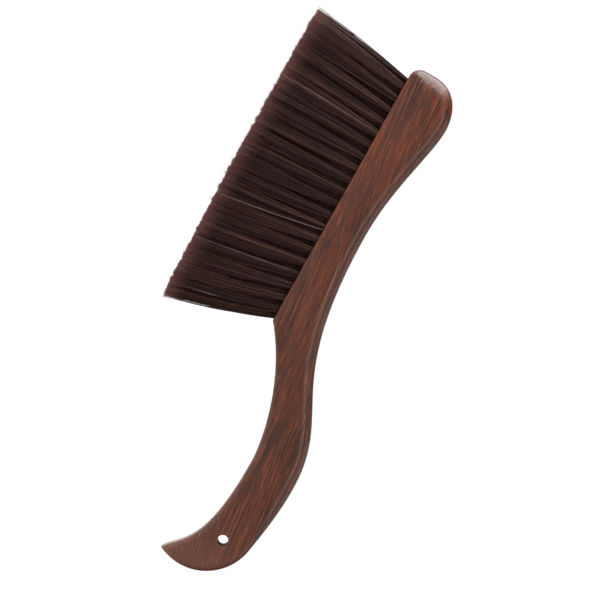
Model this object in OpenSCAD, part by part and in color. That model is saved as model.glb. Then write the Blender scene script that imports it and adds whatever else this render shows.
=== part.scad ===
// Long-handled soft brush: one piece of dark hardwood, shaped as head, grip and fish tail, with a
// field of long soft tufts set in blind holes in the head's straight face.
//
// The brush stands on its trimmed bristle tips: +Z is up, +X runs from the head to the tail, and
// Y is the thickness of the wood. The origin is under the middle of the whole length.
// Inside the modules, lengths are measured from the heel, the corner where the bristle face meets
// the underside of the grip, and heights from the bristle face.

/* [Head] */
// Length of the head, from the heel to the end of the toe
head_len = 186.5; // [170:0.5:240]
// Height of the toe's foremost point
toe_h = 14; // [10:0.5:18]
// Radius of the toe's lower corner
toe_r = 8; // [5:0.5:9]
// Distance from the toe to the crest, the highest point of the head
crest_from_toe = 27.5; // [20:0.5:36]
// Height of the crest
crest_h = 37.5; // [32:0.5:46]
// Distance from the heel to the waist, the lowest point of the spine
waist_from_heel = 75; // [55:1:95]
// Height of the waist
waist_h = 25.5; // [21:0.5:31]

/* [Grip and tail] */
// Thickness of the wood, side to side
wood_t = 25; // [20:0.5:34]
// Distance from the heel to the top of the grip
grip_from_heel = 88; // [75:1:105]
// Height of the top of the grip
grip_h = 64; // [55:0.5:76]
// Distance from the heel to the top of the arch under the grip
arch_from_heel = 85; // [72:1:98]
// Height of the arch
arch_h = 32; // [26:0.5:38]
// Slope at which the underside leaves the heel
heel_slope = 39; // [32:1:46]
// Distance from the top of the grip to the centre of the tail's round back
tail_from_grip = 41.5; // [34:0.5:60]
// Height of that centre
tail_h = 24; // [18:0.5:30]
// Radius of the tail's round back
tail_r = 35; // [29:0.5:42]
// Slope of the underside at the tip of the tail
tip_slope = 33; // [25:1:45]

/* [Rounded edges] */
// Rounding along the spine
spine_round = 7.5; // [4:0.5:9]
// Rounding along the tail's back and the arch
tail_round = 3; // [1.5:0.5:5]
// Rounding along the bristle face
face_round = 1.2; // [0.6:0.1:1.4]

/* [Hanging hole] */
// Bore of the hanging hole
hang_d = 7; // [4:0.5:10]
// Distance from the hole's centre to the tail's back
hang_inset = 16.5; // [10:0.5:22]
// Direction of the hole from the centre of the tail's back
hang_angle = 63.5; // [45:0.5:75]

/* [Bristles] */
// Length of the bristles outside the wood
free_len = 73.5; // [55:0.5:95]
// Tufts in the middle and outer rows; the two rows between them have one more
row_tufts = 20; // [16:1:22]
// Wood left between the outer holes and each side
side_land = 1.9; // [1.5:0.1:4]
// Wood left between the last hole and the heel
heel_land = 1.5; // [1:0.1:5]
// Wood left between the first hole and the toe's round corner
toe_land = 1.5; // [1:0.1:6]
// Diameter of a tuft hole
hole_d = 4.4; // [3:0.1:5]
// Depth of a tuft hole
hole_depth = 12; // [8:0.5:15]
// How far the first tuft's end leans out towards the toe
toe_lean = 8.4; // [4:0.2:14]
// How far the last tuft's end leans out towards the tail
heel_lean = 19.4; // [10:0.2:26]
// How far the outer rows' ends lean out to each side
side_lean = 7.1; // [4:0.1:12]
// Gap between the trimmed ends of neighbouring tufts
tip_gap = 1; // [0.6:0.1:3]

/* [Tuft anchors] */
// Thickness of the flat wire
wire_t = 0.4; // [0.2:0.05:0.6]
// Width of the flat wire
wire_w = 1.6; // [1:0.1:2.4]
// How far each end of the wire bites into the wood
wire_bite = 0.5; // [0.2:0.1:0.8]
// Depth of the folded bristles above the wire
fold_h = 1; // [0.6:0.1:2]

/* [Hidden] */
$fn = 32;
CUT = 1;
ROWS = [-2, -1, 0, 1, 2];
RANKS = row_tufts + 1;
ROUND_STEPS = 3;
MOUTH_BULGE = 0.2;

// The straight part of the face holds the tufts, evenly spread between its two lands
tuft_pitch = (head_len - toe_r - toe_land - heel_land - hole_d) / row_tufts;
first_x = -head_len + toe_r + toe_land + hole_d / 2;
row_step = (wood_t / 2 - side_land - hole_d / 2) / max(ROWS);
tip_pitch = tuft_pitch + (toe_lean + heel_lean) / row_tufts;
tip_step = row_step + side_lean / max(ROWS);
tip_d = min(tip_pitch, norm([tip_pitch / 2, tip_step])) - tip_gap;

// The tail's round back runs from just past its top down to the tip
BACK_START = 80;
BACK_END = -27;
tail_x = grip_from_heel + tail_from_grip;

// The ends of the whole brush, and the shift that puts its middle over the origin
bristle_end = first_x - toe_lean - tip_d / 2 / cos(atan(toe_lean / free_len));
shift_x = -(min(bristle_end, -head_len) + tail_x + tail_r) / 2;

WOOD = [0.27, 0.14, 0.1];
BRISTLE = [0.14, 0.09, 0.08];
STEEL = [0.72, 0.72, 0.74];

function two_digits(k) = str(k < 9 ? "0" : "", k + 1);

// Puts a shape drawn from the heel into the brush's own frame
module place() {
    translate([shift_x, 0, free_len]) children();
}

// ---- The outline: points of [x, height, rounding of the wood's edge there], clockwise ----

function smooth(t) = t * t * (3 - 2 * t);
function with_round(p, t, rounds) = [p[0], p[1], rounds[0] + (rounds[1] - rounds[0]) * smooth(t)];
function on_curve(ends, t) =
    pow(1 - t, 3) * ends[0] + 3 * t * pow(1 - t, 2) * ends[1]
    + 3 * t * t * (1 - t) * ends[2] + pow(t, 3) * ends[3];
function curve(ends, rounds, steps) = [
    for (i = [0:steps - 1])
        let (t = i / steps) with_round(on_curve(ends, t), t, rounds)
];
function arc(centre, r, from, to, rounds, steps) = [
    for (i = [0:steps - 1])
        let (t = i / steps, a = from + (to - from) * t)
        with_round(centre + r * [cos(a), sin(a)], t, rounds)
];

toe = [-head_len, toe_h];
crest = [-head_len + crest_from_toe, crest_h];
waist = [-waist_from_heel, waist_h];
grip = [grip_from_heel, grip_h];
tail_centre = [tail_x, tail_h];
back_top = tail_centre + tail_r * [cos(BACK_START), sin(BACK_START)];
tip = tail_centre + tail_r * [cos(BACK_END), sin(BACK_END)];
arch = [arch_from_heel, arch_h];
heel = [0, 0];
corner_centre = [-head_len + toe_r, toe_r];
corner_round = min(spine_round, 0.7 * toe_r);

// How far each curve keeps its first and last direction, as shares of the span it crosses
toe_rise = [0, 0.83 * (crest_h - toe_h)];
crest_reach = [crest_from_toe, 0];
head_span = [waist[0] - crest[0], 0];
neck_span = [grip[0] - waist[0], 0];
grip_span = norm(back_top - grip);
arch_span = norm(tip - arch);
heel_span = norm(arch - heel);

outline = concat(
    curve([toe, toe + toe_rise, crest - 0.34 * crest_reach, crest], [spine_round, spine_round], 10),
    curve([crest, crest + 0.2 * head_span, waist - 0.43 * head_span, waist], [spine_round, spine_round], 10),
    curve([waist, waist + 0.69 * neck_span, grip - 0.35 * neck_span, grip], [spine_round, spine_round], 14),
    curve(
        [
            grip,
            grip + 0.35 * [grip_span, 0],
            back_top - 0.3 * grip_span * [sin(BACK_START), -cos(BACK_START)],
            back_top
        ],
        [spine_round, tail_round], 6
    ),
    arc(tail_centre, tail_r, BACK_START, BACK_END, [tail_round, tail_round], 12),
    curve(
        [
            tip,
            tip + 0.18 * arch_span * [-cos(tip_slope), sin(tip_slope)],
            arch + 0.8 * [arch_span, 0],
            arch
        ],
        [tail_round, tail_round], 12
    ),
    curve(
        [
            arch,
            arch - 0.1 * [heel_span, 0],
            heel + 0.48 * heel_span * [cos(heel_slope), sin(heel_slope)],
            heel
        ],
        [tail_round, face_round], 10
    ),
    [[heel[0], heel[1], face_round]],
    arc(corner_centre, toe_r, -90, -180, [face_round, corner_round], 6),
    [[-head_len, toe_r, corner_round]]
);

// ---- The wood: the outline's rings, stepped in over the rounded edges, skinned side to side ----

COUNT = len(outline);
function xz(i) = let (p = outline[(i + COUNT) % COUNT]) [p[0], p[1]];
function edge_normal(i) =
    let (d = xz(i + 1) - xz(i)) [-d[1], d[0]] / norm(d);
function corner_normal(i) =
    let (a = edge_normal(i - 1), b = edge_normal(i)) (a + b) / (1 + a * b);

// a is 90 on a flat side of the wood and 0 where the rounding meets the edge's middle band
function ring(side, a) = [
    for (i = [0:COUNT - 1])
        let (r = outline[i][2], p = xz(i) - r * (1 - cos(a)) * corner_normal(i))
        [p[0], side * (wood_t / 2 - r * (1 - sin(a))), p[1]]
];
rings = concat(
    [for (j = [ROUND_STEPS:-1:0]) ring(-1, 90 * j / ROUND_STEPS)],
    [for (j = [0:ROUND_STEPS]) ring(1, 90 * j / ROUND_STEPS)]
);

// Triangles of a flat side, filled from the toe: i steps over the spine, k under the heel, and the
// shorter new rung between them comes first, until they meet
function rung(i, k) = norm(rings[0][i] - rings[0][k]);
function side_fill(i, k) =
    k == i + 1 ? []
    : rung(i + 1, k) < rung(i, k - 1) ? concat([[i, i + 1, k]], side_fill(i + 1, k))
    : concat([[i, k - 1, k]], side_fill(i, k - 1));

module wood_body() {
    last = len(rings) - 1;
    near_side = side_fill(0, COUNT - 1);
    far_side = [for (t = near_side) [t[2], t[1], t[0]] + last * COUNT * [1, 1, 1]];
    edge = [
        for (j = [0:last - 1], i = [0:COUNT - 1])
            let (
                next = (i + 1) % COUNT,
                a = j * COUNT + i,
                b = (j + 1) * COUNT + i,
                c = (j + 1) * COUNT + next,
                d = j * COUNT + next
            )
            each [[a, b, c], [a, c, d]]
    ];
    polyhedron([for (r = rings) each r], concat(near_side, far_side, edge));
}

// ---- Tufts: rank k holds the tufts at one step along the brush, side by side ----

// Every second row is set half a pitch nearer the toe and has one more tuft
function rank_rows(k) = [for (row = ROWS) if (row % 2 != 0 || k < row_tufts) row];
function root_x(k, row) = first_x + (k + (row % 2 == 0 ? 0.5 : 0)) * tuft_pitch;
function root(k, row) = [root_x(k, row), row * row_step, 0];

// The lean grows evenly along the brush and across it
function lean(k, row) =
    let (along = (root_x(k, row) - first_x) / (row_tufts * tuft_pitch))
    [-toe_lean + along * (toe_lean + heel_lean), side_lean * row / max(ROWS), -free_len];

module tuft_hole() {
    translate([0, 0, -CUT]) cylinder(d = hole_d, h = hole_depth + CUT);
}

module anchor() {
    translate([-hole_d / 2 - wire_bite, -wire_t / 2, hole_depth - fold_h - wire_w])
        cube([hole_d + 2 * wire_bite, wire_t, wire_w]);
}

// The free bristles are a cone that starts at the hole's mouth and is trimmed level with the rest
module free_bristles(direction) {
    long = norm(direction);
    mouth_d = hole_d + MOUTH_BULGE;
    spread = (tip_d - mouth_d) / long;
    run_in = hole_d;
    run_out = tip_d;
    intersection() {
        rotate([0, acos(direction[2] / long), atan2(direction[1], direction[0])])
            translate([0, 0, -run_in])
            cylinder(
                d1 = mouth_d - run_in * spread,
                d2 = tip_d + run_out * spread,
                h = run_in + long + run_out
            );
        translate([-free_len, -free_len, -free_len]) cube([2 * free_len, 2 * free_len, free_len]);
    }
}

module tuft(direction) {
    difference() {
        union() {
            cylinder(d = hole_d, h = hole_depth);
            free_bristles(direction);
        }
        anchor();
    }
}

module tuft_rank(k) {
    color(BRISTLE) place()
        for (row = rank_rows(k)) translate(root(k, row)) tuft(lean(k, row));
}

module anchor_rank(k) {
    color(STEEL) place()
        for (row = rank_rows(k)) translate(root(k, row)) anchor();
}

module hanging_hole() {
    centre = tail_centre + (tail_r - hang_inset) * [cos(hang_angle), sin(hang_angle)];
    translate([centre[0], wood_t / 2 + CUT, centre[1]])
        rotate([90, 0, 0]) cylinder(d = hang_d, h = wood_t + 2 * CUT);
}

module handle() {
    color(WOOD) place() difference() {
        wood_body();
        hanging_hole();
        for (k = [0:RANKS - 1], row = rank_rows(k)) translate(root(k, row)) {
            tuft_hole();
            anchor();
        }
    }
}

handle();
for (k = [0:RANKS - 1]) {
    tuft_rank(k);
    anchor_rank(k);
}
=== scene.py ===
import math

import bmesh
import bpy
import numpy as np
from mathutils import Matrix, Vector
from mathutils.geometry import delaunay_2d_cdt


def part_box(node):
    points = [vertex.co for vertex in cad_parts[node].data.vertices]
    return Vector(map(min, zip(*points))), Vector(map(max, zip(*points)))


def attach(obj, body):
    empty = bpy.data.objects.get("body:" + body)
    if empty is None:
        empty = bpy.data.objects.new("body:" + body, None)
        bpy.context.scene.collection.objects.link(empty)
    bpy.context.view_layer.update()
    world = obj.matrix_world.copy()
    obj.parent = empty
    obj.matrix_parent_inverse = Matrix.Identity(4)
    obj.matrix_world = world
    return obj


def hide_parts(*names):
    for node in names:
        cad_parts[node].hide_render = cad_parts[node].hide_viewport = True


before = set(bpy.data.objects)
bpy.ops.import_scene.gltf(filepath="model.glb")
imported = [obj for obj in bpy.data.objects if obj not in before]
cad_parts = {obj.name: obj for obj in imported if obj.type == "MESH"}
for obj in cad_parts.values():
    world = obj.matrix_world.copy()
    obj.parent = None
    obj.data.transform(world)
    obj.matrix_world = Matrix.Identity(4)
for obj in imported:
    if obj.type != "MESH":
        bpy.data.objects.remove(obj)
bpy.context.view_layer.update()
scene = bpy.context.scene


# ---------------------------------------------------------------------------------------------
# Handle: head, grip and fish tail are sawn from one board of dark, open-pored hardwood. The spine
# is rounded over by hand, the bristle holes are drilled into the straight face and a cross hole in
# the tail takes a hook. It is sanded and finished with a satin oil.

MM = 0.001
WOOD_LOW, WOOD_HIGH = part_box("handle")
FACE_Z = WOOD_LOW.z
HALF_WOOD = WOOD_HIGH.y
HEAD_MM, TOE_MM = 186.5, 14
CREST_FROM_TOE_MM, CREST_MM = 27.5, 37.5
WAIST_FROM_HEEL_MM, WAIST_MM = 75, 25.5
GRIP_FROM_HEEL_MM, GRIP_MM = 88, 64
HEAD_LENGTH = HEAD_MM * MM
HEEL = Vector((WOOD_LOW.x + HEAD_LENGTH, FACE_Z))

TOE = HEEL + Vector((-HEAD_MM, TOE_MM)) * MM
TOE_RISE = Vector((0, 0.83 * (CREST_MM - TOE_MM))) * MM
CREST = HEEL + Vector((CREST_FROM_TOE_MM - HEAD_MM, CREST_MM)) * MM
CREST_REACH = Vector((CREST_FROM_TOE_MM, 0)) * MM
WAIST = HEEL + Vector((-WAIST_FROM_HEEL_MM, WAIST_MM)) * MM
HEAD_REACH = Vector((HEAD_MM - CREST_FROM_TOE_MM - WAIST_FROM_HEEL_MM, 0)) * MM
GRIP = HEEL + Vector((GRIP_FROM_HEEL_MM, GRIP_MM)) * MM
NECK_REACH = Vector((WAIST_FROM_HEEL_MM + GRIP_FROM_HEEL_MM, 0)) * MM
ARCH = HEEL + Vector((85, 32)) * MM
HEEL_SLOPE = math.radians(39)
TIP_SLOPE = math.radians(33)
TAIL_CENTRE = HEEL + Vector((129.5, 24)) * MM
TAIL_RADIUS = 35 * MM
BACK_START, BACK_END = 80, -27
TOE_CORNER = 8 * MM

SPINE_ROUND = 7.5 * MM
TAIL_ROUND = 3 * MM
FACE_ROUND = 1.2 * MM
CORNER_ROUND = 9.5 * MM
TOE_ROUND = 11 * MM
OUTLINE_STEP = 0.9 * MM
ARC_STEPS = 8
ARC_END = math.radians(85)
SHOULDER = 0.5
SHOULDER_DROP = SHOULDER / math.tan(ARC_END)
SHOULDER_RINGS = (0.12, 0.35, 0.8)
RING_SLACK = 0.97
SIDE_GRID = 3 * MM
GRID_GAP = 0.3
LEVEL_WITH_FACE = 1e-9
FLAT_ANGLE = math.radians(35)

HOOK_BORE = 3.5 * MM
HOOK_FROM_TAIL_CENTRE = 18.5 * MM
HOOK_ANGLE = math.radians(63.5)
HOOK_CENTRE = TAIL_CENTRE + HOOK_FROM_TAIL_CENTRE * Vector(
    (math.cos(HOOK_ANGLE), math.sin(HOOK_ANGLE))
)
HOOK_RIM = 0.3 * MM
HOOK_RIM_TURNS = (22.5, 45, 67.5, 90)
HOOK_SIDES = 48
HOOK_MARGIN = 0.5 * MM
HOOK_TOLERANCE = 0.01 * MM

ROW_TUFTS = 20
ROWS = (-2, -1, 0, 1, 2)
ROW_STEP = 4.2 * MM
HOLE_RADIUS = 2.2 * MM
HOLE_DEPTH = 12 * MM
HOLE_SIDES = 20
TOE_LAND = HEEL_LAND = 1.5 * MM
FIRST_X = HEEL.x - HEAD_LENGTH + TOE_CORNER + TOE_LAND + HOLE_RADIUS
TUFT_PITCH = (HEAD_LENGTH - TOE_CORNER - TOE_LAND - HEEL_LAND - 2 * HOLE_RADIUS) / ROW_TUFTS


def template_curve(start, start_pull, end_pull, end, rounds):
    """A smooth stretch of the template, with the rounding of its edge growing along it."""
    count = max(round((end - start).length / OUTLINE_STEP), 6)
    for step in range(count):
        t = step / count
        point = (1 - t) ** 3 * start + 3 * t * (1 - t) ** 2 * start_pull
        point = point + 3 * t * t * (1 - t) * end_pull + t**3 * end
        yield (*point, rounds[0] + (rounds[1] - rounds[0]) * t * t * (3 - 2 * t))


def template_arc(centre, radius, first, last, rounds):
    """A round stretch of the template, between two directions in degrees."""
    count = max(round(abs(math.radians(last - first)) * radius / OUTLINE_STEP), 6)
    for step in range(count):
        t = step / count
        angle = math.radians(first + (last - first) * t)
        point = centre + radius * Vector((math.cos(angle), math.sin(angle)))
        yield (*point, rounds[0] + (rounds[1] - rounds[0]) * t * t * (3 - 2 * t))


def round_template(direction):
    """The point of the tail's round back in this direction, in degrees."""
    angle = math.radians(direction)
    return TAIL_CENTRE + TAIL_RADIUS * Vector((math.cos(angle), math.sin(angle)))


back_top = round_template(BACK_START)
tip = round_template(BACK_END)
grip_reach = (back_top - GRIP).length
arch_reach = (tip - ARCH).length
heel_reach = (ARCH - HEEL).length
back_way = Vector((math.sin(math.radians(BACK_START)), -math.cos(math.radians(BACK_START))))
tip_way = Vector((-math.cos(TIP_SLOPE), math.sin(TIP_SLOPE)))
heel_way = Vector((math.cos(HEEL_SLOPE), math.sin(HEEL_SLOPE)))
level = Vector((1, 0))
corner_centre = Vector((WOOD_LOW.x + TOE_CORNER, FACE_Z + TOE_CORNER))
face_end = Vector((corner_centre.x, FACE_Z))

spine = (SPINE_ROUND, SPINE_ROUND)
template = [
    *template_curve(
        TOE, TOE + TOE_RISE, CREST - 0.34 * CREST_REACH, CREST, (TOE_ROUND, SPINE_ROUND)
    ),
    *template_curve(CREST, CREST + 0.2 * HEAD_REACH, WAIST - 0.43 * HEAD_REACH, WAIST, spine),
    *template_curve(WAIST, WAIST + 0.69 * NECK_REACH, GRIP - 0.35 * NECK_REACH, GRIP, spine),
    *template_curve(
        GRIP,
        GRIP + 0.35 * grip_reach * level,
        back_top - 0.3 * grip_reach * back_way,
        back_top,
        (SPINE_ROUND, TAIL_ROUND),
    ),
    *template_arc(TAIL_CENTRE, TAIL_RADIUS, BACK_START, BACK_END, (TAIL_ROUND, TAIL_ROUND)),
    *template_curve(
        tip,
        tip + 0.18 * arch_reach * tip_way,
        ARCH + 0.8 * arch_reach * level,
        ARCH,
        (TAIL_ROUND, TAIL_ROUND),
    ),
    *template_curve(
        ARCH,
        ARCH - 0.1 * heel_reach * level,
        HEEL + 0.48 * heel_reach * heel_way,
        HEEL,
        (TAIL_ROUND, FACE_ROUND),
    ),
    *template_curve(HEEL, HEEL, face_end, face_end, (FACE_ROUND, FACE_ROUND)),
    *template_arc(corner_centre, TOE_CORNER, -90, -180, (FACE_ROUND, CORNER_ROUND)),
    *template_curve(
        Vector((WOOD_LOW.x, corner_centre.y)),
        Vector((WOOD_LOW.x, corner_centre.y)),
        TOE,
        TOE,
        (CORNER_ROUND, TOE_ROUND),
    ),
]
outline = np.array(template)[:, :2]
rounding = np.array(template)[:, 2]


def nearest_edge(points):
    """How far each point is from the outline, and the rounding of the edge it is nearest to."""
    start, way = outline, np.roll(outline, -1, 0) - outline
    along = ((points[:, None] - start) * way).sum(2) / (way**2).sum(1)
    along = along.clip(0, 1)
    gap = np.linalg.norm(points[:, None] - start - along[..., None] * way, axis=2)
    best = gap.argmin(1)
    rows = np.arange(len(points))
    share = along[rows, best]
    rounds = rounding[best] * (1 - share) + np.roll(rounding, -1)[best] * share
    return gap[rows, best], rounds


def side_height(gap, rounds):
    """Half the thickness of the wood at this distance from its outline."""
    turn = np.arccos(1 - np.minimum(gap / rounds, 1 - math.cos(ARC_END)))
    past = np.maximum(gap / rounds - (1 - math.cos(ARC_END)), 0)
    drop = SHOULDER_DROP * np.exp(-past / SHOULDER)
    return HALF_WOOD - rounds * (math.sin(ARC_END) - np.sin(turn) + drop)


def circle(centre, radius, sides):
    """Points round a circle."""
    angles = 2 * np.pi * np.arange(sides) / sides
    return np.array(centre) + radius * np.stack([np.cos(angles), np.sin(angles)], 1)


def fill(points, loops):
    """Triangles that join the points inside the first loop and outside the others."""
    edges = [
        (loop[i], loop[(i + 1) % len(loop)]) for loop in loops for i in range(len(loop))
    ]
    made = delaunay_2d_cdt([Vector(p) for p in points], edges, [], 1, 1e-7)
    return np.array([v[:] for v in made[0]]), [f for f in made[2]]


before = outline - np.roll(outline, 1, 0)
after = np.roll(outline, -1, 0) - outline
facing = before / np.linalg.norm(before, axis=1)[:, None]
facing = facing + after / np.linalg.norm(after, axis=1)[:, None]
inwards = np.stack([facing[:, 1], -facing[:, 0]], 1) / np.linalg.norm(facing, axis=1)[:, None]
rings = [1 - math.cos(ARC_END * step / ARC_STEPS) for step in range(1, ARC_STEPS + 1)]
rings += [rings[-1] + more for more in SHOULDER_RINGS]
inner = []
for share in rings:
    inset = outline + inwards * (rounding * share)[:, None]
    gap, rounds = nearest_edge(inset)
    inner.append(inset[gap > RING_SLACK * share * rounding])
low, high = outline.min(0), outline.max(0)
grid = np.stack(
    np.meshgrid(np.arange(low[0], high[0], SIDE_GRID), np.arange(low[1], high[1], SIDE_GRID)), 2
).reshape(-1, 2)


def inside(points):
    """Whether each point is inside the outline."""
    a, b = outline, np.roll(outline, -1, 0)
    x, y = points[:, 0, None], points[:, 1, None]
    crosses = (a[:, 1] > y) != (b[:, 1] > y)
    with np.errstate(divide="ignore", invalid="ignore"):
        where = a[:, 0] + (y - a[:, 1]) / (b[:, 1] - a[:, 1]) * (b[:, 0] - a[:, 0])
    return (crosses & (x < where)).sum(1) % 2 == 1


grid = grid[inside(grid)]
gap, rounds = nearest_edge(grid)
inner.append(grid[gap > (rings[-1] + GRID_GAP) * rounds])
inner = np.concatenate(inner)
from_hook = np.linalg.norm(inner - np.array(HOOK_CENTRE), axis=1)
inner = inner[from_hook > HOOK_BORE + HOOK_RIM + HOOK_MARGIN]
rim = circle(HOOK_CENTRE, HOOK_BORE + HOOK_RIM, HOOK_SIDES)
count = len(outline)
side_points, side_faces = fill(
    np.concatenate([outline, rim, inner]),
    [list(range(count)), list(range(count, count + HOOK_SIDES))],
)
from_hook = np.linalg.norm(side_points - np.array(HOOK_CENTRE), axis=1)
in_bore = from_hook < HOOK_BORE + HOOK_RIM + HOOK_TOLERANCE
side_faces = [f for f in side_faces if not all(in_bore[v] for v in f)]
gap, rounds = nearest_edge(side_points)
height = side_height(gap, rounds)

wood = bmesh.new()
# This layer is 1 at the bottoms of the tuft holes and inside the hook bore; the wood's colour uses it
# to paint shade in the holes.
bore_depth_layer = wood.verts.layers.float.new("bore_depth")
halves = []
for side in (-1, 1):
    verts = [
        wood.verts.new((p[0], side * h, p[1])) for p, h in zip(side_points, height, strict=True)
    ]
    for face in side_faces:
        wood.faces.new([verts[v] for v in face])
    halves.append(verts)

on_face = abs(outline[:, 1] - FACE_Z) < LEVEL_WITH_FACE
straight = {i for i in range(count) if on_face[i] and on_face[(i + 1) % count]}
for i in range(count):
    if i not in straight:
        j = (i + 1) % count
        wood.faces.new([halves[0][i], halves[0][j], halves[1][j], halves[1][i]])


def root_x(rank, row):
    """Where along the head this tuft is: every second row is set half a pitch back."""
    return FIRST_X + (rank + (0.5 if row % 2 == 0 else 0)) * TUFT_PITCH


tuft_roots = [
    (rank, row) for rank in range(ROW_TUFTS + 1) for row in ROWS if row % 2 or rank < ROW_TUFTS
]
face_verts = sorted(straight | {(i + 1) % count for i in straight})
face_loop = [halves[0][i] for i in face_verts] + [halves[1][i] for i in reversed(face_verts)]
hole_points = [
    circle((root_x(rank, row), row * ROW_STEP), HOLE_RADIUS, HOLE_SIDES)
    for rank, row in tuft_roots
]
loops = [list(range(len(face_loop)))]
for k in range(len(hole_points)):
    loops.append([len(face_loop) + k * HOLE_SIDES + i for i in range(HOLE_SIDES)])
flat_points, flat_faces = fill(
    np.concatenate([[(v.co.x, v.co.y) for v in face_loop], *hole_points]), loops
)
flat_verts = [*face_loop] + [
    wood.verts.new((p[0], p[1], FACE_Z)) for p in flat_points[len(face_loop) :]
]
for face in flat_faces:
    holes_met = {(v - len(face_loop)) // HOLE_SIDES for v in face}
    if min(face) < len(face_loop) or len(holes_met) > 1:
        wood.faces.new([flat_verts[v] for v in face])
for k in range(len(hole_points)):
    mouth = flat_verts[len(face_loop) + k * HOLE_SIDES : len(face_loop) + (k + 1) * HOLE_SIDES]
    deep = [wood.verts.new((v.co.x, v.co.y, FACE_Z + HOLE_DEPTH)) for v in mouth]
    for vert in deep:
        vert[bore_depth_layer] = 1
    for i in range(HOLE_SIDES):
        j = (i + 1) % HOLE_SIDES
        wood.faces.new([mouth[i], mouth[j], deep[j], deep[i]])
    wood.faces.new(deep)

bore = []
for side, verts in zip((-1, 1), halves, strict=True):
    ring = verts[count : count + HOOK_SIDES]
    bore_rings = [ring]
    for angle in HOOK_RIM_TURNS:
        a = math.radians(angle)
        radius = HOOK_BORE + HOOK_RIM * (1 - math.sin(a))
        depth = HALF_WOOD - HOOK_RIM * (1 - math.cos(a))
        bore_rings.append(
            [
                wood.verts.new((p[0], side * depth, p[1]))
                for p in circle(HOOK_CENTRE, radius, HOOK_SIDES)
            ]
        )
    bore.append(bore_rings)
rings_through = bore[0] + bore[1][::-1]
for near, far in zip(rings_through, rings_through[1:], strict=False):
    for i in range(HOOK_SIDES):
        j = (i + 1) % HOOK_SIDES
        wood.faces.new([near[i], near[j], far[j], far[i]])

for ring in rings_through[2:-2]:
    for vert in ring:
        vert[bore_depth_layer] = 1

bmesh.ops.recalc_face_normals(wood, faces=wood.faces)
handle_mesh = bpy.data.meshes.new("wooden_handle")
wood.to_mesh(handle_mesh)
wood.free()
handle_mesh.shade_smooth()
handle_mesh.set_sharp_from_angle(angle=FLAT_ANGLE)
handle = bpy.data.objects.new("wooden_handle", handle_mesh)
scene.collection.objects.link(handle)


class Amount:
    """A value that a node gives. Arithmetic on it adds Math nodes to the same tree."""

    def __init__(self, work, socket):
        self.work, self.socket = work, socket

    def math(self, operation, *values):
        return self.work.node(
            "ShaderNodeMath", {"operation": operation}, dict(enumerate(values))
        )

    def __add__(self, other):
        return self.math("ADD", self, other)

    def __sub__(self, other):
        return self.math("SUBTRACT", self, other)

    def __rsub__(self, other):
        return self.math("SUBTRACT", other, self)

    def __mul__(self, other):
        return self.math("MULTIPLY", self, other)

    def __truediv__(self, other):
        return self.math("DIVIDE", self, other)

    def __pow__(self, other):
        return self.math("POWER", self, other)

    __radd__ = __add__
    __rmul__ = __mul__


class Wiring:
    """A node tree, built one node at a time."""

    def __init__(self, tree):
        self.tree = tree
        tree.nodes.clear()

    def feed(self, socket, value):
        if isinstance(value, Amount):
            self.tree.links.new(value.socket, socket)
        else:
            socket.default_value = value

    def node(self, kind, settings=None, inputs=None, output=0):
        made = self.tree.nodes.new(kind)
        for name, value in (settings or {}).items():
            setattr(made, name, value)
        for key, value in (inputs or {}).items():
            self.feed(made.inputs[key], value)
        return Amount(self, made.outputs[output]) if made.outputs else None

    def between(self, value, low, high):
        """0 below low, 1 above high and a soft step between them."""
        return self.node(
            "ShaderNodeMapRange",
            {"interpolation_type": "SMOOTHSTEP"},
            {"Value": value, "From Min": low, "From Max": high},
        )

    def tint(self, share, first, second, way="MIX"):
        """A colour that goes from the first to the second."""
        return self.node(
            "ShaderNodeMix",
            {"data_type": "RGBA", "blend_type": way},
            {"Factor": share, 6: first, 7: second},
            output=2,
        )

    def stretched_noise(self, place, cells, detail, roughness=0.5):
        """Noise whose cells have this many to the metre along each axis."""
        scaled = self.node(
            "ShaderNodeVectorMath", {"operation": "MULTIPLY"}, {0: place, 1: cells}
        )
        return self.node(
            "ShaderNodeTexNoise",
            None,
            {"Vector": scaled, "Scale": 1, "Detail": detail, "Roughness": roughness},
        )


def colour(red, green, blue):
    """A screen colour, 0 to 255 in each part, as the linear light that a shader works in."""
    screen = np.array([red, green, blue]) / 255
    return (*np.where(screen < 0.04045, screen / 12.92, ((screen + 0.055) / 1.055) ** 2.4), 1)


GRAIN_TILT = math.radians(7)
oiled_wood = bpy.data.materials.new("oiled_wood")
oiled_wood.use_nodes = True
board = Wiring(oiled_wood.node_tree)
here = board.node("ShaderNodeTexCoord", output="Object")
grain = board.node("ShaderNodeMapping", None, {"Vector": here, "Rotation": (0, GRAIN_TILT, 0)})
sway = board.stretched_noise(grain, (7, 16, 16), 1)
bent_grain = board.node(
    "ShaderNodeVectorMath",
    {"operation": "MULTIPLY_ADD"},
    {
        0: board.node("ShaderNodeCombineXYZ", None, {"Y": sway - 0.5, "Z": sway - 0.5}),
        1: (0, 0.012, 0.012),
        2: grain,
    },
)
figure = board.stretched_noise(bent_grain, (20, 75, 75), 4, 0.6)
veins = board.stretched_noise(bent_grain, (13, 380, 380), 3, 0.65)
lines = board.stretched_noise(bent_grain, (16, 950, 950), 2, 0.6)
fibres = board.stretched_noise(bent_grain, (95, 1300, 1300), 3, 0.7)
pore_cells = board.node(
    "ShaderNodeTexVoronoi",
    {"feature": "F1"},
    {
        "Vector": board.node(
            "ShaderNodeVectorMath",
            {"operation": "MULTIPLY"},
            {0: bent_grain, 1: (130, 1450, 1450)},
        ),
        "Scale": 1,
    },
)
pore_bands = board.between(veins, 0.4, 0.62)
pores = (1 - board.between(pore_cells, 0.12, 0.3)) * (0.35 + 0.65 * pore_bands)
blush = board.stretched_noise(grain, (14, 40, 40), 2)
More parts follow.
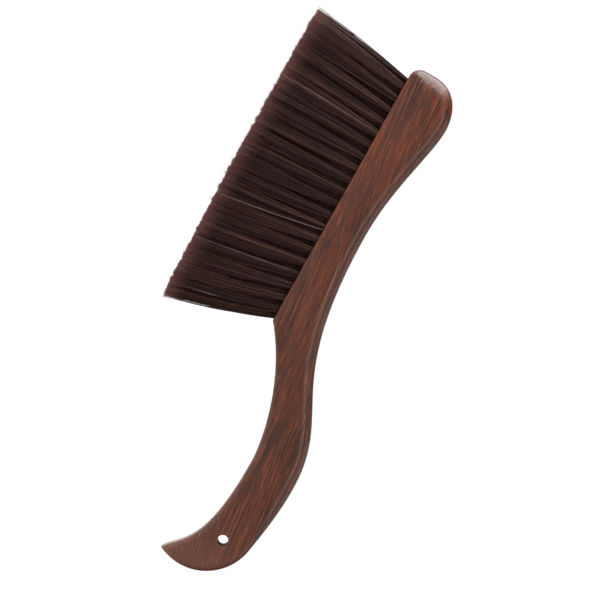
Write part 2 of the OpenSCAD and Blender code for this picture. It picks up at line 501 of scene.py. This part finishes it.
ring_lines = board.node(
    "ShaderNodeTexWave",
    {"wave_type": "BANDS", "bands_direction": "Z"},
    {
        "Vector": board.node(
            "ShaderNodeVectorMath",
            {"operation": "MULTIPLY"},
            {0: bent_grain, 1: (13, 120, 120)},
        ),
        "Scale": 1,
        "Distortion": 9,
        "Detail": 3,
        "Detail Scale": 1.2,
    },
    output="Fac",
)

MID_WOOD = colour(84, 35, 12)
DARK_WOOD = colour(36, 15, 8)
BROWN_WOOD = colour(60, 26, 11)
PALE_WOOD = colour(138, 72, 33)
RED_WOOD = colour(96, 39, 12)
GREY_PINK_WOOD = colour(122, 82, 68)
# The pores' own colour, also used as the painted shade in the holes.
PORE_AND_BORE_SHADE = colour(28, 14, 10)
along_wood = board.node("ShaderNodeSeparateXYZ", None, {"Vector": here}, output="X")
wood_colour = board.tint(board.between(figure, 0.36, 0.62), BROWN_WOOD, MID_WOOD)
wood_colour = board.tint(board.between(blush, 0.42, 0.7) * 0.6, wood_colour, RED_WOOD)
wood_colour = board.tint((1 - board.between(ring_lines, 0.04, 0.3)) * 0.45, wood_colour, DARK_WOOD)
wood_colour = board.tint(board.between(veins, 0.52, 0.74) * 0.2, wood_colour, PALE_WOOD)
wood_colour = board.tint((1 - board.between(veins, 0.28, 0.46)) * 0.4, wood_colour, DARK_WOOD)
wood_colour = board.tint(board.between(lines, 0.54, 0.72) * 0.55, wood_colour, PALE_WOOD)
wood_colour = board.tint((1 - board.between(lines, 0.32, 0.48)) * 0.7, wood_colour, DARK_WOOD)
wood_colour = board.tint(board.between(fibres, 0.54, 0.74) * 0.45, wood_colour, PALE_WOOD)
wood_colour = board.tint((1 - board.between(fibres, 0.3, 0.48)) * 0.6, wood_colour, DARK_WOOD)
# Towards the tail's end the wood is tinted greyish pink.
wood_colour = board.tint(board.between(along_wood, 0.13, 0.18) * 0.3, wood_colour, GREY_PINK_WOOD)
wood_colour = board.tint(pores * 0.85, wood_colour, PORE_AND_BORE_SHADE)
# Painted shade in the holes: the walls of the tuft holes and the hook bore are tinted towards the dark
# pore colour, more so deeper in.
bore_depth = board.node("ShaderNodeAttribute", {"attribute_name": "bore_depth"}, output="Fac")
wood_colour = board.tint(bore_depth * 0.8, wood_colour, PORE_AND_BORE_SHADE)
relief = board.node(
    "ShaderNodeBump",
    None,
    {
        "Strength": 0.5,
        "Distance": 0.00006,
        "Height": fibres * 0.5 + veins * 0.3 - pores,
    },
)
sheen_patches = board.stretched_noise(here, (55, 55, 55), 3)
surface = board.node(
    "ShaderNodeBsdfPrincipled",
    None,
    {
        "Base Color": wood_colour,
        "Roughness": 0.32 + 0.12 * sheen_patches + 0.2 * pores + 0.3 * bore_depth,
        "Normal": relief,
        "Specular IOR Level": 0.45,
    },
)
board.node("ShaderNodeOutputMaterial", None, {"Surface": surface})
handle_mesh.materials.append(oiled_wood)
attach(handle, "root")
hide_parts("handle")


# ---------------------------------------------------------------------------------------------
# Bristles: soft, near-black dyed filaments in 102 tufts, five rows to the head. Each tuft is folded
# over a flat wire and driven into its hole; the ends are combed out and trimmed level. One piece
# holds the tufts of one rank across the head.

BRISTLES_PER_TUFT = 230
BRISTLE_SIDES = 3
BRISTLE_SEGMENTS = 8
BRISTLE_THICKNESS = 0.125 * MM
FREE_LENGTH = FACE_Z
ROOT_DEPTH = 10.5 * MM
ROOT_RADIUS = 1.9 * MM
MOUTH_RADIUS = 2.5 * MM
TIP_SPREAD = 6.3 * MM
SIDE_SPREAD = 4.2 * MM
CLUMPS = 22
TOE_LEAN, HEEL_LEAN, SIDE_LEAN = 8.4 * MM, 18.2 * MM, 7.1 * MM
TRIM_START, HEEL_TRIM = 0.55, 2.4 * MM
CLUMP_REACH, OWN_REACH = 0.82, 0.26
CLUMP_NUMBERS_APART = 97
SEEDS_APART = 1000

bristle_dye_and_light = bpy.data.materials.new("bristle_dye_and_light")
bristle_dye_and_light.use_nodes = True
dye_and_light = Wiring(bristle_dye_and_light.node_tree)
hair = dye_and_light.node("ShaderNodeAttribute", {"attribute_name": "hair"}, output="Fac")
clump = dye_and_light.node("ShaderNodeAttribute", {"attribute_name": "clump"}, output="Fac")
along = dye_and_light.node("ShaderNodeAttribute", {"attribute_name": "along"}, output="Fac")
NEAR_BLACK = colour(38, 23, 21)
PURPLE_BROWN = colour(78, 48, 43)
BROWN = colour(122, 82, 64)
PAINTED_TIP_GLOW = colour(136, 88, 82)
PALE_HAIR_AND_GLINT = colour(205, 188, 178)
bristle_colour = dye_and_light.tint(clump * 0.8 + hair * 0.2, NEAR_BLACK, PURPLE_BROWN)
bristle_colour = dye_and_light.tint(dye_and_light.between(hair, 0.84, 0.95) * 0.75, bristle_colour, BROWN)
# Painted light: the ends of the bristles are lightened towards a reddish brown, standing in for light
# shining through the thin tips.
bristle_colour = dye_and_light.tint(dye_and_light.between(along, 0.82, 1.0) * 0.7, bristle_colour, PAINTED_TIP_GLOW)
# A few hairs turn pale: partly pale filaments, mostly painted glints.
bristle_colour = dye_and_light.tint(dye_and_light.between(hair, 0.994, 0.996) * 0.8, bristle_colour, PALE_HAIR_AND_GLINT)
streaks = dye_and_light.stretched_noise(
    dye_and_light.node("ShaderNodeTexCoord", output="Object"), (3000, 3000, 120), 2
)
faded = dye_and_light.tint(streaks, (0.55, 0.55, 0.55, 1), (1, 1, 1, 1))
bristle_colour = dye_and_light.tint(0.8, bristle_colour, faded, "MULTIPLY")
bristle_surface = dye_and_light.node(
    "ShaderNodeBsdfPrincipled",
    None,
    {
        "Base Color": bristle_colour,
        "Roughness": 0.38 + 0.25 * streaks,
        "Specular IOR Level": 0.2,
    },
)
dye_and_light.node("ShaderNodeOutputMaterial", None, {"Surface": bristle_surface})

tuft_tree = bpy.data.node_groups.new("bristles_in_a_rank", "GeometryNodeTree")
tuft = Wiring(tuft_tree)
tuft_tree.interface.new_socket("Geometry", in_out="INPUT", socket_type="NodeSocketGeometry")
tuft_tree.interface.new_socket("Geometry", in_out="OUTPUT", socket_type="NodeSocketGeometry")
tuft_sizes = {
    "Bristles": ("Int", BRISTLES_PER_TUFT),
    "Clumps": ("Int", CLUMPS),
    "Thickness": ("Float", BRISTLE_THICKNESS),
    "Free Length": ("Float", FREE_LENGTH),
    "Root Depth": ("Float", ROOT_DEPTH),
    "Root Radius": ("Float", ROOT_RADIUS),
    "Mouth Radius": ("Float", MOUTH_RADIUS),
    "Tip Spread": ("Float", TIP_SPREAD),
    "Side Spread": ("Float", SIDE_SPREAD),
    "Seed": ("Int", 0),
}
socket_names = {
    name: tuft_tree.interface.new_socket(
        name, in_out="INPUT", socket_type="NodeSocket" + kind
    ).identifier
    for name, (kind, _) in tuft_sizes.items()
}
asked = {name: tuft.node("NodeGroupInput", output=name) for name in ["Geometry", *tuft_sizes]}


def draw(identity, offset, low=0.0, high=1.0):
    """A random number of its own for each identity."""
    return tuft.node(
        "FunctionNodeRandomValue",
        {"data_type": "FLOAT"},
        {2: low, 3: high, "ID": identity, "Seed": asked["Seed"] + offset},
        output=1,
    )


def keep(geometry, name, value, kind="FLOAT"):
    """The geometry with this value written on its points."""
    return tuft.node(
        "GeometryNodeStoreNamedAttribute",
        {"data_type": kind, "domain": "POINT"},
        {"Geometry": geometry, "Name": name, "Value": value},
    )


def kept(name, kind="FLOAT"):
    """What was written on the points under this name."""
    return tuft.node("GeometryNodeInputNamedAttribute", {"data_type": kind}, {"Name": name})


def parts(vector):
    """The three parts of a vector."""
    split = tuft.tree.nodes.new("ShaderNodeSeparateXYZ")
    tuft.feed(split.inputs[0], vector)
    return [Amount(tuft, socket) for socket in split.outputs]


roots = tuft.node("GeometryNodeMeshToPoints", None, {"Mesh": asked["Geometry"]})
roots = keep(roots, "tuft", tuft.node("GeometryNodeInputIndex"), "INT")
roots = tuft.node(
    "GeometryNodeDuplicateElements",
    {"domain": "POINT"},
    {"Geometry": roots, "Amount": asked["Bristles"]},
)
strand_number = tuft.node("GeometryNodeInputIndex")
roots = keep(roots, "strand", strand_number, "INT")
roots = keep(roots, "root", tuft.node("GeometryNodeInputPosition"), "FLOAT_VECTOR")
stick = tuft.node(
    "GeometryNodeMeshCylinder",
    {"fill_type": "NGON"},
    {
        "Vertices": BRISTLE_SIDES,
        "Side Segments": BRISTLE_SEGMENTS,
        "Radius": 1.0,
        "Depth": 1.0,
    },
)
bristles = tuft.node(
    "GeometryNodeInstanceOnPoints",
    None,
    {
        "Points": roots,
        "Instance": stick,
        "Rotation": tuft.node(
            "ShaderNodeCombineXYZ", None, {"Z": draw(strand_number, 1, 0.0, 2 * math.pi)}
        ),
    },
)
bristles = tuft.node("GeometryNodeRealizeInstances", None, {"Geometry": bristles})

root = kept("root", "FLOAT_VECTOR")
strand = kept("strand", "INT")
root_place = parts(root)
lean_place = parts(kept("lean", "FLOAT_VECTOR"))
ring_place = parts(
    tuft.node(
        "ShaderNodeVectorMath",
        {"operation": "SUBTRACT"},
        {0: tuft.node("GeometryNodeInputPosition"), 1: root},
    )
)
steps_down = (0.5 - ring_place[2]) * BRISTLE_SEGMENTS
in_hole = steps_down.math("MINIMUM", steps_down, 1)
now_free = (steps_down - in_hole) / (BRISTLE_SEGMENTS - 1)
clump_number = draw(strand, 2) * asked["Clumps"]
clump_number = kept("tuft", "INT") * CLUMP_NUMBERS_APART + clump_number.math("FLOOR", clump_number)
bristles = keep(bristles, "hair", draw(strand, 16))
bristles = keep(bristles, "clump", draw(clump_number, 17))
bristles = keep(bristles, "along", now_free)

along_hair = kept("along")
clump_turn = draw(clump_number, 3, 0.0, 2 * math.pi)
clump_reach = draw(clump_number, 4) ** 0.55 * CLUMP_REACH
own_turn = draw(strand, 5, 0.0, 2 * math.pi)
own_reach = draw(strand, 6) ** 0.5 * OWN_REACH
fan = along_hair * 1.25 - along_hair * along_hair * 0.25
flare = along_hair * 1.5 - along_hair * along_hair * 0.5
mouth = asked["Root Radius"] + (asked["Mouth Radius"] - asked["Root Radius"]) * kept("in_hole")
stray = draw(strand, 7) ** 10 * 0.5 * along_hair * along_hair
wave_start = draw(strand, 9, 0.0, 2 * math.pi)
wave = draw(strand, 8, 2.0, 6.0) * along_hair + wave_start
wave = wave.math("SINE", wave) - wave_start.math("SINE", wave_start)
thick = asked["Thickness"] * (1 - 0.45 * along_hair * along_hair)


def place_in_tuft(turning):
    """How far out from its tuft's middle a bristle stands, as a share of the spread."""
    place = clump_turn.math(turning, clump_turn) * clump_reach
    return place + own_turn.math(turning, own_turn) * own_reach


tip_x = root_place[0] + lean_place[0] + place_in_tuft("COSINE") * asked["Tip Spread"]
teeth = tuft.stretched_noise(
    tuft.node("ShaderNodeCombineXYZ", None, {"X": tip_x}), (330, 1, 1), 1
)
short = draw(strand, 14) ** 3 * 0.02 + draw(clump_number, 15) * 0.012
short = short + own_reach ** 2 * 0.12 + (teeth - 0.3) * 0.05


def across(axis, turning, tip_spread):
    """A point's place on the head's length or width, from its root, its tuft and its own bends."""
    place = place_in_tuft(turning)
    spread = mouth + (tip_spread - asked["Mouth Radius"]) * flare + tip_spread * stray
    clump_bend = draw(clump_number, 20 + axis, -0.8 * MM, 0.8 * MM) * along_hair * along_hair
    own_bend = draw(strand, 30 + axis, -0.3 * MM, 0.3 * MM) * wave
    middle = root_place[axis] + lean_place[axis] * fan + place * spread
    return middle + clump_bend + own_bend + ring_place[axis] * thick


down = root_place[2] + asked["Root Depth"] * (1 - kept("in_hole"))
down = down - (asked["Free Length"] * (1 - short) - lean_place[2]) * along_hair
bristles = keep(bristles, "in_hole", in_hole)
bristles = tuft.node(
    "GeometryNodeSetPosition",
    None,
    {
        "Geometry": bristles,
        "Position": tuft.node(
            "ShaderNodeCombineXYZ",
            None,
            {
                "X": across(0, "COSINE", asked["Tip Spread"]),
                "Y": across(1, "SINE", asked["Side Spread"]),
                "Z": down,
            },
        ),
    },
)
for name in ("root", "strand", "tuft", "lean", "in_hole"):
    bristles = tuft.node(
        "GeometryNodeRemoveAttribute", None, {"Geometry": bristles, "Name": name}
    )
bristles = tuft.node("GeometryNodeSetShadeSmooth", None, {"Geometry": bristles})
bristles = tuft.node(
    "GeometryNodeSetMaterial", None, {"Geometry": bristles, "Material": bristle_dye_and_light}
)
tuft.node("NodeGroupOutput", None, {"Geometry": bristles})

for rank in range(ROW_TUFTS + 1):
    rows = [row for r, row in tuft_roots if r == rank]
    seat = bpy.data.meshes.new("bristles_%02d" % (rank + 1))
    seat.from_pydata([(root_x(rank, row), row * ROW_STEP, FACE_Z) for row in rows], [], [])
    lean = seat.attributes.new("lean", "FLOAT_VECTOR", "POINT")
    for i, row in enumerate(rows):
        share = (root_x(rank, row) - FIRST_X) / (ROW_TUFTS * TUFT_PITCH)
        lean_along = -TOE_LEAN + share * (TOE_LEAN + HEEL_LEAN)
        trim = HEEL_TRIM * max(0, share - TRIM_START) / (1 - TRIM_START)
        lean.data[i].vector = (lean_along, SIDE_LEAN * row / ROWS[-1], trim)
    bristles_piece = bpy.data.objects.new(seat.name, seat)
    scene.collection.objects.link(bristles_piece)
    growing = bristles_piece.modifiers.new("bristles", "NODES")
    growing.node_group = tuft_tree
    for name, (_, value) in tuft_sizes.items():
        growing[socket_names[name]] = value
    growing[socket_names["Seed"]] = SEEDS_APART * rank
    ready = bpy.context.evaluated_depsgraph_get()
    grown = bpy.data.meshes.new_from_object(bristles_piece.evaluated_get(ready), depsgraph=ready)
    bristles_piece.modifiers.clear()
    bristles_piece.data = grown
    bpy.data.meshes.remove(seat)
    grown.name = bristles_piece.name
    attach(bristles_piece, "root")
    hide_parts("tuft_rank_%02d" % (rank + 1))


# ---------------------------------------------------------------------------------------------
# Anchors: short pieces of flat steel wire, driven across each tuft's fold so that their ends bite
# into the wood of the hole. They stay as packed and take a drawn-wire finish.

drawn_wire = bpy.data.materials.new("drawn_wire")
drawn_wire.use_nodes = True
wire = Wiring(drawn_wire.node_tree)
wire_place = wire.node("ShaderNodeTexCoord", output="Object")
draw_lines = wire.stretched_noise(wire_place, (300, 9000, 9000), 3)
tarnish = wire.stretched_noise(wire_place, (900, 900, 900), 2)
wire_colour = wire.tint(wire.between(tarnish, 0.5, 0.75), colour(186, 186, 190), colour(140, 132, 124))
wire_surface = wire.node(
    "ShaderNodeBsdfPrincipled",
    None,
    {
        "Base Color": wire_colour,
        "Metallic": 1.0,
        "Roughness": 0.28 + 0.25 * draw_lines,
        "Normal": wire.node(
            "ShaderNodeBump", None, {"Strength": 0.3, "Distance": 0.00005, "Height": draw_lines}
        ),
    },
)
wire.node("ShaderNodeOutputMaterial", None, {"Surface": wire_surface})
for rank in range(ROW_TUFTS + 1):
    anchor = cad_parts["anchor_rank_%02d" % (rank + 1)]
    anchor.data.materials.clear()
    anchor.data.materials.append(drawn_wire)


# ---------------------------------------------------------------------------------------------
# Studio: the brush stands on its bristle tips on a wide white floor that glows like a light table.
# A large lamp beyond the toe lights it, with softer ones in front, above and behind. The camera
# looks straight at the side of the wood from far away and is rolled, so that the head points up.

FLOOR_RADIUS = 1.5
FLOOR_SIDES = 96
VIEW_MIDDLE = Vector((-0.0084, 0, 0.0823))
FLOOR_SEEN, FLOOR_LIGHT = 0.9, 1.2
VIEW_DISTANCE = 2.2
VIEW_WIDTH = 0.384
VIEW_RIGHT = Vector((-0.488, 0, 0.873)).normalized()
VIEW_BACK = Vector((0, -1, 0))
SENSOR = 36
LAMPS_AIM = Vector((0, 0, 0.08))

floor_mesh = bpy.data.meshes.new("studio_floor")
floor_edge = circle((0, 0), FLOOR_RADIUS, FLOOR_SIDES)
floor_mesh.from_pydata([(x, y, 0) for x, y in floor_edge], [], [range(FLOOR_SIDES)])
floor = bpy.data.objects.new("studio_floor", floor_mesh)
scene.collection.objects.link(floor)
white_paper = bpy.data.materials.new("white_paper")
white_paper.use_nodes = True
paper = Wiring(white_paper.node_tree)
looked_at = paper.node("ShaderNodeLightPath", output="Is Camera Ray")
glow = paper.tint(looked_at, (FLOOR_LIGHT,) * 4, (FLOOR_SEEN,) * 4)
sheet = paper.node(
    "ShaderNodeBsdfPrincipled",
    None,
    {
        "Base Color": (0.3, 0.3, 0.3, 1),
        "Roughness": 0.9,
        "Emission Color": glow,
        "Emission Strength": 1.0,
    },
)
paper.node("ShaderNodeOutputMaterial", None, {"Surface": sheet})
floor_mesh.materials.append(white_paper)

camera = bpy.data.objects.new("camera", bpy.data.cameras.new("camera"))
scene.collection.objects.link(camera)
camera.data.sensor_width = SENSOR
camera.data.lens = SENSOR * VIEW_DISTANCE / VIEW_WIDTH
camera.data.clip_start, camera.data.clip_end = 0.01, 200
view_up = VIEW_BACK.cross(VIEW_RIGHT)
turn = camera.matrix_world.copy()
for axis, way in enumerate((VIEW_RIGHT, view_up, VIEW_BACK)):
    for part in range(3):
        turn[part][axis] = way[part]
turn.translation = VIEW_MIDDLE + VIEW_BACK * VIEW_DISTANCE
camera.matrix_world = turn
scene.camera = camera

for name, place, wide, high, power in (
    ("key", (-1.6, -0.1, 0.1), 2.6, 1.6, 98),
    ("front", (-0.1, -2.0, 1.5), 2.2, 0.6, 20),
    ("top", (0, 0.1, 3), 2.2, 2.2, 24),
    ("back", (0.5, 2.4, 1.0), 1.8, 1.8, 20),
):
    lamp = bpy.data.lights.new(name, "AREA")
    lamp.shape, lamp.size, lamp.size_y, lamp.energy = "RECTANGLE", wide, high, power
    softbox = bpy.data.objects.new(name, lamp)
    softbox.location = place
    softbox.rotation_euler = (LAMPS_AIM - softbox.location).to_track_quat("-Z", "Y").to_euler()
    scene.collection.objects.link(softbox)

air = bpy.data.worlds.new("studio_air")
air.use_nodes = True
sky = Wiring(air.node_tree)
seen = sky.node("ShaderNodeLightPath", output="Is Camera Ray")
sky_colour = sky.tint(seen, (0.1, 0.1, 0.1, 1), (1.05, 1.05, 1.05, 1))
sky_light = sky.node("ShaderNodeBackground", None, {"Color": sky_colour, "Strength": 1.0})
sky.node("ShaderNodeOutputWorld", None, {"Surface": sky_light})
scene.world = air
scene.view_settings.view_transform = "Standard"
